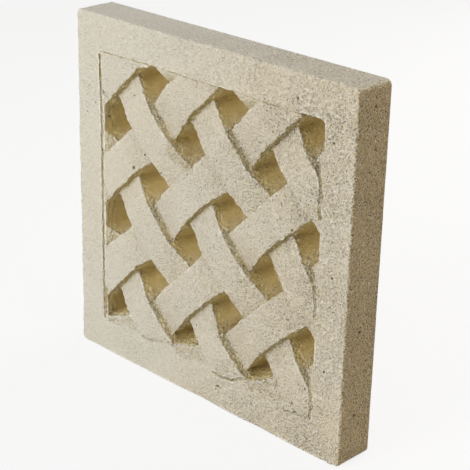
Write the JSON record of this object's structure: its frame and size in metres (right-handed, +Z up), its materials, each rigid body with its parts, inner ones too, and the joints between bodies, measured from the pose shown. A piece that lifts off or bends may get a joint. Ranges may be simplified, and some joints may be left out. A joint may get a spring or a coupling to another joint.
{
  "type": "stone ventilation grille",
  "caption": "Square cast stone ventilation grille: a plain border round a diagonal basket weave of flat straps with open gaps.",
  "frame": {"origin": "middle of the foot of the panel, half way through its thickness", "axes": "+X to the right as the face is seen, +Y from the woven face to the flat back, +Z up the panel"},
  "size_m": [0.3, 0.035, 0.3],
  "materials": {
    "cast_stone": "matte, sandy and finely pitted"
  },
  "bodies": {
    "root": {"grille": "cast_stone"}
  },
  "joints": []
}
